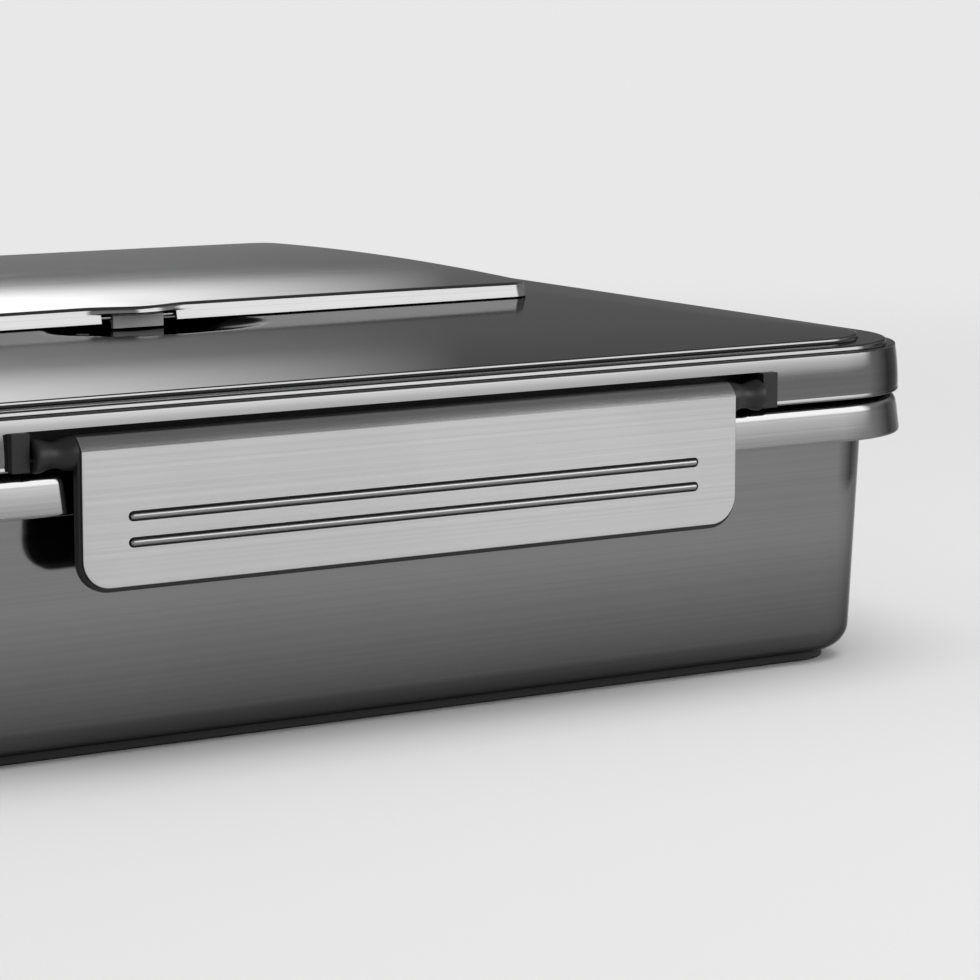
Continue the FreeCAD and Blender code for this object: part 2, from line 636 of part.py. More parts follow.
def make_hinge_leaf(hand, sign):
    """A plate on the lid behind the cover, with a knuckle at each end."""
    body = cover_body(f"cover_hinge_leaf_{hand}")
    middle = f"{sign}leaf_offset"
    near = f"({BARREL_Y} + barrel_radius + barrel_play)"
    centred_box(body, "AdditiveBox", "plate", middle, f"{near} + leaf_depth / 2", PANEL, "leaf_length",
                "leaf_depth", "leaf_thickness")
    for end, way in HANDS.items():
        centre = f"{middle} + {way}(leaf_length - leaf_knuckle) / 2"
        centred_box(body, "AdditiveBox", f"curl_{end}", centre,
                    f"({BARREL_Y} + {near} + leaf_thickness) / 2", PANEL, "leaf_knuckle",
                    "barrel_radius + barrel_play + leaf_thickness", "barrel_rise")
        rod(body, "AdditiveCylinder", f"knuckle_{end}", centre, BARREL_Y, BARREL_Z, "leaf_knuckle",
            "barrel_radius")
    rod(body, "SubtractiveCylinder", "hinge_hole", middle, BARREL_Y, BARREL_Z, "2 * leaf_length",
        "barrel_pin_radius")


def make_hinge_pin(hand, sign):
    body = cover_body(f"cover_hinge_pin_{hand}")
    rod(body, "AdditiveCylinder", "wire", f"{sign}leaf_offset", BARREL_Y, BARREL_Z, "leaf_length",
        "barrel_pin_radius")


def make_latch_tab():
    body = cover_body("latch_tab")
    rod(body, "AdditiveCylinder", "knuckle", "0", TAB_Y, TAB_Z, "tab_width", "tab_knuckle")
    centred_box(body, "AdditiveBox", "tongue", "0", f"{TAB_Y} - tab_knuckle + tab_thickness / 2",
                f"{TAB_Z} - tab_drop", "tab_width", "tab_thickness", "tab_drop")
    rod(body, "SubtractiveCylinder", "pin_hole", "0", TAB_Y, TAB_Z, "2 * tab_width",
        "tab_pin_radius + running_gap")


def make_latch_pin():
    body = cover_body("latch_pin")
    rod(body, "AdditiveCylinder", "wire", "0", TAB_Y, TAB_Z, "window_width + 2 * cheek_width",
        "tab_pin_radius")


def check_and_write():
    """Stop if any object failed or any piece isn't one sound solid, then write one file for each piece."""
    doc.recompute()
    failed = [thing.Name for thing in doc.Objects if {"Invalid", "Error"} & set(thing.State)]
    if failed:
        raise RuntimeError(f"failed objects: {failed}")
    bodies = [thing for thing in doc.Objects if thing.TypeId == "PartDesign::Body"]
    for body in bodies:
        shape = body.Shape
        if shape.isNull() or not shape.isValid() or len(shape.Solids) != 1:
            raise RuntimeError(f"{body.Label} isn't one sound solid")
    os.makedirs("parts", exist_ok=True)
    for body in bodies:
        body.Shape.exportStep(f"parts/{body.Label}.step")
        box = body.Shape.BoundBox
        spans = ", ".join(f"{low:.2f} to {high:.2f}" for low, high in
                          ((box.XMin, box.XMax), (box.YMin, box.YMax), (box.ZMin, box.ZMax)))
        print(f"{body.Label}: {body.Shape.Volume / 1000:.2f} cm3, {spans}")


make_container()
make_base_foot()
make_lid_shell()
make_lid_frame()
make_lid_gasket()
for side_name in SIDES:
    make_clip(side_name)
    make_catch(side_name)
    make_clip_pin(side_name)
make_cutlery_tray()
make_compartment_cover()
for hand_name, hand_sign in HANDS.items():
    make_hinge_leaf(hand_name, hand_sign)
    make_hinge_pin(hand_name, hand_sign)
make_latch_tab()
make_latch_pin()
check_and_write()
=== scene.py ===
"""Looks of the clip-lid lunch box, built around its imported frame.

Metres, +Z up. The front is at -Y.
"""
import json
import math

import bmesh
import bpy
from mathutils import Matrix, Vector


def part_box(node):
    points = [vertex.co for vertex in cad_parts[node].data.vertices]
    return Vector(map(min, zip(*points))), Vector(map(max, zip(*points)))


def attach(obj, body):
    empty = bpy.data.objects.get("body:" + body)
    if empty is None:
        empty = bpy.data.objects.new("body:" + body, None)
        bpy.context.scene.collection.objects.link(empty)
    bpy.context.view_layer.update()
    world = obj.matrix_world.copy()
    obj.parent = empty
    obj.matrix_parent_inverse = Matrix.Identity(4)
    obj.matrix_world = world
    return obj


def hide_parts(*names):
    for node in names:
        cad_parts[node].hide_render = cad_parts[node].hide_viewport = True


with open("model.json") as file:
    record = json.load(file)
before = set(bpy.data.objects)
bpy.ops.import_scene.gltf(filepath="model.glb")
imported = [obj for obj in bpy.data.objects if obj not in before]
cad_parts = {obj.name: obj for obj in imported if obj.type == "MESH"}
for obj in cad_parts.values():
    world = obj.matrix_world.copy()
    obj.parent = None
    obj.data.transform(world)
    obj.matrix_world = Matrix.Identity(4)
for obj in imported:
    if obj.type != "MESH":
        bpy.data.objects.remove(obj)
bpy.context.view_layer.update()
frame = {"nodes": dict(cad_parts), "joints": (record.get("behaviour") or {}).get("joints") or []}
MM = 0.001
QUARTER = math.pi / 2         # a quarter turn

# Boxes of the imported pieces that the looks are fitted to.
LID_LOW, LID_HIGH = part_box("lid_shell")
TUB_LOW, TUB_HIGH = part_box("container")
COVER_LOW, COVER_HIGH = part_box("compartment_cover")
TRAY_LOW, TRAY_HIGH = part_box("cutlery_tray")
JOINTS = {joint["name"]: joint for joint in frame["joints"]}
CLIP_JOINTS = {side: f"{side}_clip_hinge" for side in ("front", "right", "back", "left")}

# Sheet steel, the lid's outline, which the lid and the tub are inset from, and how finely curves are drawn.
SHEET = 0.6 * MM
LID_CORNER = 21.0 * MM
LID_OUTLINE = (LID_HIGH.x, LID_HIGH.y, LID_CORNER)
SMALLEST_CORNER = 1.0 * MM
ARC_STEPS = 14
ROUND_STEPS = 8
SIDE_STEPS = (120, 56)        # steps along the front and back, and along the left and right

# Shading, bevels and cuts.
SMOOTH_ANGLE = 32.0           # degrees; a sharper edge than this stays crisp
CLIP_SMOOTH_ANGLE = 21.0
BEVEL_ANGLE = math.radians(50)              # a sharper edge than this is rounded
FLAT_ANGLE = math.radians(1)                # faces that meet flatter than this are joined
CORNER_SEGMENTS = 10
EDGE_SEGMENTS = 3
WELD_DISTANCE = 0.002 * MM
SAME_PLACE = 0.0001 * MM
CUT_MARGIN = 1.0 * MM         # how far a cutter reaches past what it cuts

# Lid: a hem, a skirt that leans in, and two low steps up to the panel. Each pair is an inset and a height.
LID_HEM = [(inset * MM, LID_LOW.z + rise * MM) for inset, rise in (
    (0.6, 0.5), (0.5, 0.12), (0.3, 0.0), (0.12, 0.06), (0.02, 0.2), (0.0, 0.3), (0.1, 0.75), (0.11, 0.85),
    (0.06, 1.0))]
SKIRT_BEND = (0.06 * MM, LID_LOW.z + 1.2 * MM)
SKIRT_TOP = (0.57 * MM, LID_HIGH.z - 2.15 * MM)
SKIRT_SHOULDER = (1.05 * MM, LID_HIGH.z - 1.75 * MM)
SKIRT_LEAN = 0.16             # inwards, for each unit up
SKIRT_STEPS = 14
STEP_LEAN = 0.2               # inwards at the head of a step
# Toe, foot, head and shoulder of each step: inset, and drop below the lid's top.
LID_STEPS = [[(inset * MM, LID_HIGH.z - drop * MM) for inset, drop in step] for step in (
    ((1.98, 1.75), (2.1, 1.63), (2.18, 1.25), (3.0, 0.95)),
    ((6.8, 0.95), (7.12, 0.63), (7.17, 0.4), (7.8, 0.2)))]
PANEL_EDGE = LID_STEPS[-1][-1]
PANEL_EDGE_WIDTH = 36.0 * MM
PANEL_STEPS = 90
UNDERSIDE_STEPS = 14
COVER_MIDDLE = Vector((0.0, (TRAY_LOW.y + TRAY_HIGH.y) / 2))
TRAY_FLANGE = 3.2 * MM
TRAY_OPENING = (TRAY_HIGH.x - TRAY_FLANGE, (TRAY_HIGH.y - TRAY_LOW.y) / 2 - TRAY_FLANGE, 8.0 * MM)

# Notches in the skirt for the clips.
NOTCH_HALF = 70.5 * MM
NOTCH_TOP = LID_LOW.z + 5.9 * MM
NOTCH_CORNER = 1.6 * MM
NOTCH_CORNER_STEPS = 6
NOTCH_BELOW = 2.0 * MM        # how far the cutter reaches below the skirt
NOTCH_OUT = 4.0 * MM          # and outside the hinge axis
NOTCH_IN = 3.0 * MM           # and inside it

# Scoop in front of the cover, for a finger.
SCOOP_CENTRE = COVER_MIDDLE - Vector((0.0, 57.0 * MM))
SCOOP_HALF = Vector((23.0 * MM, 13.5 * MM))
SCOOP_DEPTH = 1.4 * MM
SCOOP_RISE = 1.0 * MM
SCOOP_SOFTNESS = 0.3 * MM

# Tub. The collar's hem is listed as insets and heights, from its outside to its inside.
COLLAR_OUT = TUB_HIGH.x - LID_HIGH.x
COLLAR_EDGE = TUB_HIGH.z - 6.6 * MM
COLLAR_HEM = [(inset * MM - COLLAR_OUT, COLLAR_EDGE + rise * MM) for inset, rise in (
    (0.0, 0.5), (0.06, 0.2), (0.2, 0.04), (0.36, 0.0), (0.6, 0.2))]
COLLAR_LEAN = 0.13            # inwards, for each unit up
COLLAR_ROLL_IN = 2.2 * MM
COLLAR_ROLL_DOWN = 1.8 * MM
FLANGE_BEND_IN = 0.6 * MM
FLANGE_BEND_DOWN = 1.4 * MM
MOUTH_ROUND = 0.9 * MM
MOUTH_STEPS = 5
MOUTH_LEAN = 0.1 * MM
MOUTH_DEPTH = 3.0 * MM
WALL_INSET = 6.2 * MM
WALL_LEAN = 1.9 * MM
BASE_ROUND = 4.5 * MM

# Clips, about their hinge axis: -Y is outwards and X runs along the side. The head is listed in Y and Z.
CLIP_HALF = 60.6 * MM
CLIP_REACH = 4.0 * MM
CLIP_FACE = 3.8 * MM
CLIP_DROP = 20.5 * MM
CLIP_THICKNESS = 2.5 * MM
CLIP_CORNER = 5.0 * MM
HEAD_FOOT = Vector((-CLIP_FACE, 1.2 * MM))
HEAD_CORNER = Vector((-2.88 * MM, 2.79 * MM))
HEAD_TOP = Vector((-1.9 * MM, 3.25 * MM))
HEAD_BACK = Vector((0.0, 3.6 * MM))
CORE_SCALE = 0.85             # the core's front against the sheet's, about the hinge axis
CORE_EDGE = 0.3 * MM
PLATE_EDGE = 0.2 * MM
PLATE_MARGIN = 0.45 * MM      # core left bare beyond each end of the sheet
PLATE_FOOT = 0.75 * MM        # and below it
KNUCKLE = 1.7 * MM
KNUCKLE_STEPS = 10
BOSS_RADIUS = 2.6 * MM
BOSS_WAIST = 2.0 * MM
BOSS_WAIST_STEPS = 10
BOSS_LENGTH = 6.5 * MM
BOSS_ROOT = 1.0 * MM
BOSS_EDGE = 0.5 * MM
BOSS_EDGE_STEPS = 4
BOSS_DIMPLE = (0.55, 0.45)    # radius of its rim and of its floor, as shares of the boss's
BOSS_DIMPLE_DEPTH = 0.35 * MM
BOSS_SHIFT = 0.7 * MM
BOSS_SIDES = 32
RIB_HALF = 52.25 * MM
RIB_RADIUS = 0.5 * MM
RIB_HEIGHT = 0.42 * MM
RIB_DROPS = (9.1 * MM, 13.1 * MM)
RIB_STEPS = 10
SLOT_GAP = 0.3 * MM           # dark line round each rib
SLOT_SINK = 0.1 * MM          # how far a slot is cut past the sheet

# Cover of the cutlery compartment.
COVER_FOOT = COVER_LOW.z
COVER_TOP = COVER_HIGH.z
COVER_OUTLINE = (83.9 * MM, 51.0 * MM, 5.0 * MM)
COVER_WALL = 0.8 * MM
COVER_BEVEL = 0.15 * MM
COVER_DRAFT = 0.5 * MM
COVER_EDGE = 0.8 * MM
COVER_EDGE_STEPS = 6
COVER_DOME = Vector((0.3 * MM, 1.0 * MM))   # fall of the top to the ends and to the front and back
# Insets of the top, and each inset of the underside with its drop below the ceiling, in millimetres.
COVER_TOP_INSETS = (2, 4, 8, 14, 20, 26, 32, 38, 44, 49)
COVER_INSIDE = ((0.8, 0.8), (1.2, 0.3), (3.0, 0.0), (49.0, 0.0))
LIP_HALF = 11.0 * MM
LIP_REACH = 2.5 * MM
LIP_THICKNESS = 1.2 * MM
LIP_FADE = 8                  # millimetres over which the lip's reach dies out on the top
LIP_ROWS = ((-0.02 * MM, 0.0), (0.0, 0.9), (0.15 * MM, 1.0))   # rise above its foot, and share of its reach
WINDOW_HALF = 7.5 * MM
WINDOW_OUT = 1.5 * MM
WINDOW_GAP = 0.05 * MM

# Finishes. A brush scale stretches the lines: low along them and high across.
AROUND = (3.0, 3.0, 2600.0)
ALONG_X = (3.0, 2600.0, 2600.0)
CLOUD_SCALE = 22.0
GRAIN_SCALE = 3800.0
SCUFF_SCALE = 90.0
NOISE_RANGE = (0.3, 0.7)      # the middle range of a noise, which holds most of its values
BRUSH_TONE = (0.95, 1.05)
CLOUD_TONE = (0.97, 1.03)
SCUFF_TONE = (0.85, 1.15)
CLOUD_ROUGHNESS = (0.92, 1.08)
SCUFF_ROUGHNESS = (0.9, 1.1)
BRUSH_ROUGHNESS = 0.02        # added or taken away
STEEL_BUMP = 0.35
MOULDING_BUMP = 0.4
PAINTED_SHADE_LOW = 5.0 * MM          # heights between which painted shade low on the wall fades out; it stands in for the shadowed floor that the wall mirrors
PAINTED_SHADE_HIGH = 24.0 * MM
STEELS = {
    # the tub's foot share is painted shade: its steel is darker towards the bottom
    "tub_steel": dict(level=0.22, roughness=0.1, edge=0.45, brush_scale=AROUND, brush_depth=0.003 * MM,
                      foot=0.45),
    "lid_steel": dict(level=0.16, roughness=0.08, edge=0.36, brush_scale=AROUND, brush_depth=0.001 * MM),
    "cover_steel": dict(level=0.18, roughness=0.09, edge=0.6, brush_scale=ALONG_X, brush_depth=0.001 * MM),
    "clip_steel": dict(level=0.53, roughness=0.24, edge=0.6, brush_scale=ALONG_X, brush_depth=0.005 * MM),
    "pin_steel": dict(level=0.25, roughness=0.3, edge=0.4, brush_scale=ALONG_X, brush_depth=0.01 * MM),
}
MOULDINGS = {
    "frame_plastic": dict(level=0.01, roughness=0.45, grain_scale=2500.0, grain_depth=0.02 * MM,
                          specular=0.3),
    "seal_silicone": dict(level=0.45, roughness=0.5, grain_scale=1800.0, grain_depth=0.02 * MM,
                          specular=0.35),
    "foot_rubber": dict(level=0.02, roughness=0.65, grain_scale=2200.0, grain_depth=0.04 * MM,
                        specular=0.3),
    "tab_plastic": dict(level=0.45, roughness=0.4, grain_scale=2500.0, grain_depth=0.01 * MM,
                        specular=0.5),
}

# Studio.
BACKGROUND = 0.807
OVERHEAD = 0.17
DARKENING = (0.2, 0.75)       # sines of the elevations between which the studio darkens
FILL = 0.45
FLOOR_LEVEL = 0.8
FLOOR_SIZE = 14.0
FLOOR_FADE = (0.28, 0.7)      # distances between which the floor runs out into the background
AIM_HEIGHT = 0.04
CAMERA_PLACE = (-0.320406, -0.626204, 0.131609)
CAMERA_ELEVATION = 8.66
CAMERA_TURN = -32.848
CAMERA_LENS = 143.559
CAMERA_SENSOR = 36.0
CAMERA_RANGE = (0.05, 60.0)


def add_node(tree, kind, sockets=None, **settings):
    """Add a shader node; sockets maps an input to a value or to another node's output."""
    made = tree.nodes.new(f"ShaderNode{kind}")
    for name, setting in settings.items():
        setattr(made, name, setting)
    for key, content in (sockets or {}).items():
        if isinstance(content, bpy.types.NodeSocket):
            tree.links.new(content, made.inputs[key])
        else:
            made.inputs[key].default_value = content
    return made


def new_material(name):
    material = bpy.data.materials.new(name)
    material.use_nodes = True
    material.node_tree.nodes.clear()
    return material, material.node_tree


def own_place(tree):
    """The object's own coordinates."""
    return add_node(tree, "TexCoord").outputs["Object"]


def noise(tree, scale, detail):
    """The value of a noise over the object's own coordinates, which scale may stretch."""
    place = own_place(tree)
    if not isinstance(scale, (int, float)):
        place = add_node(tree, "Mapping", {"Vector": place, "Scale": scale}).outputs["Vector"]
        scale = 1.0
    return add_node(tree, "TexNoise", {"Vector": place, "Scale": scale, "Detail": detail}).outputs["Fac"]


def spread(tree, value, low, high):
    """Map a noise's middle range to values between low and high."""
    least, most = NOISE_RANGE
    return add_node(tree, "MapRange", {"Value": value, "From Min": least, "From Max": most,
                                       "To Min": low, "To Max": high}).outputs["Result"]


def combine(tree, operation, first, second):
    """The result of a maths node on two values."""
    return add_node(tree, "Math", {0: first, 1: second}, operation=operation).outputs["Value"]


def grey(level):
    return (level, level, level, 1.0)


def steel(name, level, roughness, edge, brush_scale, brush_depth, foot=1.0):
    """Brushed steel: fine lines, cloudy roughness and a little grain.

    Low down on the box the level falls to a share of itself, foot, as painted shade for the shadowed floor
    that the lower wall mirrors.
    """
    material, tree = new_material(name)
    brush = noise(tree, brush_scale, detail=3.0)
    cloud = noise(tree, CLOUD_SCALE, detail=3.0)
    grain = noise(tree, GRAIN_SCALE, detail=1.0)
    tone = combine(tree, "MULTIPLY", spread(tree, brush, *BRUSH_TONE), spread(tree, cloud, *CLOUD_TONE))
    # Painted shade: the level falls to its foot share low down on the piece.
    height = add_node(tree, "SeparateXYZ", {0: own_place(tree)}).outputs["Z"]
    painted_shade_level = add_node(tree, "MapRange", {"Value": height, "From Min": PAINTED_SHADE_LOW, "From Max": PAINTED_SHADE_HIGH,
                                          "To Min": foot * level, "To Max": level}).outputs["Result"]
    smoothest, roughest = CLOUD_ROUGHNESS
    rough = combine(tree, "ADD", spread(tree, cloud, roughness * smoothest, roughness * roughest),
                    spread(tree, brush, -BRUSH_ROUGHNESS, BRUSH_ROUGHNESS))
    bump = add_node(tree, "Bump", {"Strength": STEEL_BUMP, "Distance": brush_depth,
                                   "Height": combine(tree, "ADD", brush, grain)})
    shader = add_node(tree, "BsdfPrincipled", {
        "Base Color": combine(tree, "MULTIPLY", painted_shade_level, tone), "Metallic": 1.0, "Roughness": rough,
        "Specular Tint": grey(edge), "Normal": bump.outputs["Normal"]})
    add_node(tree, "OutputMaterial", {"Surface": shader.outputs["BSDF"]})
    return material


def moulding(name, level, roughness, grain_scale, grain_depth, specular):
    """Moulded plastic or rubber with a fine spark-eroded grain and slight scuffs."""
    material, tree = new_material(name)
    grain = noise(tree, grain_scale, detail=2.0)
    scuff = noise(tree, SCUFF_SCALE, detail=4.0)
    tone = spread(tree, scuff, *SCUFF_TONE)
    smoothest, roughest = SCUFF_ROUGHNESS
    colour = add_node(tree, "VectorMath", {0: (level, level, level), "Scale": tone}, operation="SCALE")
    bump = add_node(tree, "Bump", {"Strength": MOULDING_BUMP, "Distance": grain_depth, "Height": grain})
    shader = add_node(tree, "BsdfPrincipled", {
        "Base Color": colour.outputs["Vector"],
        "Roughness": spread(tree, scuff, roughness * smoothest, roughness * roughest),
        "Specular IOR Level": specular, "Normal": bump.outputs["Normal"]})
    add_node(tree, "OutputMaterial", {"Surface": shader.outputs["BSDF"]})
    return material


MATERIALS = {name: steel(name, **finish) for name, finish in STEELS.items()}
MATERIALS.update({name: moulding(name, **finish) for name, finish in MOULDINGS.items()})


def curve(steps, shape):
    """Points of a profile, from a function of 0 to 1."""
    return [shape(i / steps) for i in range(steps + 1)]


def outline(half_x, half_y, corner):
    """Points of a rounded rectangle, anticlockwise from the left end of its front side."""
    corner = max(corner, SMALLEST_CORNER)
    in_x = half_x - corner
    in_y = half_y - corner
    starts = ((-in_x, -half_y), (half_x, -in_y), (in_x, half_y), (-half_x, in_y))
    ends = ((in_x, -half_y), (half_x, in_y), (-in_x, half_y), (-half_x, -in_y))
    centres = ((in_x, -in_y), (in_x, in_y), (-in_x, in_y), (-in_x, -in_y))
    points = []
    for quarter, (start, end, centre) in enumerate(zip(starts, ends, centres)):
        steps = SIDE_STEPS[quarter % 2]
        points += [Vector(start).lerp(Vector(end), i / steps) for i in range(steps)]
        for i in range(ARC_STEPS):
            angle = (quarter - 1 + i / ARC_STEPS) * QUARTER
            points.append(Vector(centre) + corner * Vector((math.cos(angle), math.sin(angle))))
    return points


def inset_outline(base, inset):
    half_x, half_y, corner = base
    return outline(half_x - inset, half_y - inset, corner - inset)


def rings(base, profile):
    """A level ring of the outline for each inset and height of a profile."""
    return [[point.to_3d() + Vector((0, 0, height)) for point in inset_outline(base, inset)]
            for inset, height in profile]


def bend_up(start, end, steps):
    """A curve that leaves start upwards and leans over more and more towards end."""
    across = end[0] - start[0]
    up = end[1] - start[1]
    return curve(steps, lambda t: (start[0] + across * t * t, start[1] + up * t))


def rounded(start, corner, end):
    """A curve from start to end that is drawn towards a corner."""
    start = Vector(start)
    corner = Vector(corner)
    end = Vector(end)
    return curve(ROUND_STEPS, lambda t: start.lerp(corner, t).lerp(corner.lerp(end, t), t))


def roll_to(start, end, lean):
    """A rounded shoulder that leaves start upwards with a lean inwards, and arrives level at end."""
    return rounded(start, (start[0] + lean * (end[1] - start[1]), end[1]), end)


def quarter_roll(start, across, up, steps):
    """A quarter of an ellipse that leaves start upwards and ends level, inset across and raised up."""
    inset, height = start
    return curve(steps, lambda t: (inset + across * (1 - math.cos(t * QUARTER)),
                                   height + up * math.sin(t * QUARTER)))


def smooth(mesh, angle=SMOOTH_ANGLE):
    """Shade a mesh smoothly, apart from its sharp edges."""
    mesh.shade_smooth()
    mesh.set_sharp_from_angle(angle=math.radians(angle))


def link_object(name, data):
    """A new object in the scene."""
    made = bpy.data.objects.new(name, data)
    bpy.context.scene.collection.objects.link(made)
    return made


def new_piece(name, vertices, faces, material):
    """A smooth-shaded mesh object in the frame, with its normals outwards."""
    mesh = bpy.data.meshes.new(name)
    mesh.from_pydata(vertices, [], faces)
    shape = bmesh.new()
    shape.from_mesh(mesh)
    bmesh.ops.recalc_face_normals(shape, faces=shape.faces)
    shape.to_mesh(mesh)
    shape.free()
    smooth(mesh)
    mesh.materials.append(material)
    return link_object(name, mesh)


def weigh_normals(piece):
    """Let wide faces keep their own direction, so that only the roundings between them shade."""
    modifier = piece.modifiers.new("weighted_normal", "WEIGHTED_NORMAL")
    modifier.keep_sharp = True


def skin(all_rings, closed=False, capped=False):
    """Vertices and faces over rings of equal length, joined in order."""
    count = len(all_rings[0])
    total = len(all_rings)
    vertices = [point for one in all_rings for point in one]
    faces = []
    for i in range(total if closed else total - 1):
        here = i * count
        there = (i + 1) % total * count
        for j in range(count):
            after = (j + 1) % count
            faces.append((here + j, here + after, there + after, there + j))
    if capped:
        faces.append(tuple(range(count)))
        faces.append(tuple(range((total - 1) * count, total * count)))
    return vertices, faces


def carve(piece, cutter):
    """Cut another object out of a piece for good."""
    modifier = piece.modifiers.new("carve", "BOOLEAN")
    modifier.object = cutter
    modifier.operation = "DIFFERENCE"
    modifier.solver = "EXACT"
    bpy.context.view_layer.update()
    evaluated = piece.evaluated_get(bpy.context.evaluated_depsgraph_get())
    made = bpy.data.meshes.new_from_object(evaluated)
    piece.modifiers.clear()
    piece.data = made
    bpy.data.objects.remove(cutter)
    smooth(piece.data)


def base_curve(radius, inset, foot):
    """The round between the tub's floor and its wall."""
    return curve(ROUND_STEPS, lambda t: (inset + radius * (1 - math.sin(t * QUARTER)),
                                         foot + radius * (1 - math.cos(t * QUARTER))))


def make_tub():
    """The pressed basin with its turned-down collar, as one closed sheet."""
    rim = TUB_HIGH.z
    base_inset = WALL_INSET + WALL_LEAN
    mouth = WALL_INSET + SHEET
    inside = base_curve(BASE_ROUND - SHEET, base_inset + SHEET, TUB_LOW.z + SHEET)
    inside += [(mouth + MOUTH_LEAN, rim - MOUTH_DEPTH)]
    inside += quarter_roll((mouth, rim - MOUTH_ROUND), -MOUTH_ROUND, MOUTH_ROUND, MOUTH_STEPS)
    collar_head = rim - COLLAR_ROLL_DOWN
    collar_in = COLLAR_LEAN * (collar_head - COLLAR_HEM[0][1]) - COLLAR_OUT
    collar = roll_to((collar_in, collar_head), (COLLAR_ROLL_IN, rim), COLLAR_LEAN)
    collar.reverse()
    under = [(collar_in + SHEET, collar_head), (COLLAR_ROLL_IN + SHEET, rim - SHEET),
             (WALL_INSET - FLANGE_BEND_IN, rim - SHEET), (WALL_INSET, rim - FLANGE_BEND_DOWN)]
    outside = base_curve(BASE_ROUND, base_inset, TUB_LOW.z)
    outside.reverse()
    profile = inside + collar + COLLAR_HEM + under + outside
    piece = new_piece("tub_shell", *skin(rings(LID_OUTLINE, profile), capped=True), MATERIALS["tub_steel"])
    weigh_normals(piece)
    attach(piece, "tub")
    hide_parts("container")


def scoop_drop(point):
    """How far the finger scoop lowers the lid's panel at a point."""
    x = (point.x - SCOOP_CENTRE.x) / SCOOP_HALF.x
    y = (point.y - SCOOP_CENTRE.y) / SCOOP_HALF.y
    inside = 1 - x * x - y * y
    depth = (SCOOP_DEPTH + SCOOP_RISE) * math.sqrt(max(inside, 0.0)) - SCOOP_RISE
    if abs(depth) < SCOOP_SOFTNESS:
        return (depth + SCOOP_SOFTNESS) ** 2 / (4 * SCOOP_SOFTNESS)
    return max(depth, 0.0)


def panel_rings(start_inset, lowered, steps):
    """Rings of the lid's panel from an inset to the tray's opening, with the scoop and a soft edge."""
    edge_drop = LID_HIGH.z - PANEL_EDGE[1]
    outer = inset_outline(LID_OUTLINE, start_inset)
    inner = [point + COVER_MIDDLE for point in outline(*TRAY_OPENING)]
    result = []
    for i in range(steps + 1):
        share = i / steps
        level = []
        for from_edge, to_opening in zip(outer, inner):
            point = from_edge.lerp(to_opening, share)
            edge = max(0.0, 1 - (point - from_edge).length / PANEL_EDGE_WIDTH)
            height = LID_HIGH.z - edge_drop * edge * edge - scoop_drop(point) - lowered
            level.append(Vector((point.x, point.y, height)))
        result.append(level)
    return result


def make_lid():
    """The pressed lid: hem, skirt, two steps, panel with its scoop, and the tray's opening."""
    skirt = bend_up(SKIRT_BEND, SKIRT_TOP, SKIRT_STEPS)
    climb = roll_to(SKIRT_TOP, SKIRT_SHOULDER, SKIRT_LEAN)[1:]
    for toe, foot, head, shoulder in LID_STEPS:
        climb += [toe, foot] + roll_to(head, shoulder, STEP_LEAN)
    outside = rings(LID_OUTLINE, LID_HEM + skirt + climb[:-1])
    outside += panel_rings(PANEL_EDGE[0], 0.0, PANEL_STEPS)
    under_edge = PANEL_EDGE[0] + SHEET
    under = panel_rings(under_edge, SHEET, UNDERSIDE_STEPS)
    under.reverse()
    ceiling = SKIRT_SHOULDER[1] - SHEET
    inside = rings(LID_OUTLINE, [(under_edge, ceiling), (SKIRT_SHOULDER[0] + SHEET, ceiling),
                                 (SKIRT_TOP[0] + SHEET, ceiling - SHEET),
                                 (SKIRT_BEND[0] + SHEET, SKIRT_BEND[1])])
    piece = new_piece("lid_top", *skin(outside + under + inside, closed=True), MATERIALS["lid_steel"])
    for side, joint_name in CLIP_JOINTS.items():
        carve(piece, notch_cutter(side, joint_name))
    weigh_normals(piece)
    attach(piece, "lid")
    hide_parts("lid_shell")


def side_matrix(joint_name):
    """Places a shape made about a clip's hinge axis, with -Y outwards, on that clip's side."""
    x, y, z = JOINTS[joint_name]["pos_m"]
    turn = math.atan2(x, -y)
    return Matrix.Translation((x, y, z)) @ Matrix.Rotation(turn, 4, "Z")


def drawn_out(shape, low, high, lay):
    """Vertices and faces of an outline drawn out from low to high; lay(a, b, along) places a point."""
    count = len(shape)
    vertices = [Vector(lay(a, b, along)) for along in (low, high) for a, b in shape]
    faces = [tuple(range(count)), tuple(range(count, 2 * count))]
    faces += [(i, (i + 1) % count, count + (i + 1) % count, count + i) for i in range(count)]
    return vertices, faces


def along_x(y, z, x):
    return x, y, z


def along_y(x, z, y):
    return x, y, z


def notch_cutter(side, joint_name):
    """A block with round upper corners that opens the skirt for a clip."""
    matrix = side_matrix(joint_name)
    low = LID_LOW.z - NOTCH_BELOW - matrix.translation.z
    centre_x = NOTCH_HALF - NOTCH_CORNER
    centre_z = NOTCH_TOP - matrix.translation.z - NOTCH_CORNER
    arc = curve(NOTCH_CORNER_STEPS, lambda t: (centre_x + NOTCH_CORNER * math.cos(t * QUARTER),
                                               centre_z + NOTCH_CORNER * math.sin(t * QUARTER)))
    shape = [(NOTCH_HALF, low)] + arc + [(-x, z) for x, z in reversed(arc)] + [(-NOTCH_HALF, low)]
    vertices, faces = drawn_out(shape, -NOTCH_OUT, NOTCH_IN, along_y)
    placed = [matrix @ vertex for vertex in vertices]
    return new_piece(f"notch_{side}", placed, faces, MATERIALS["lid_steel"])


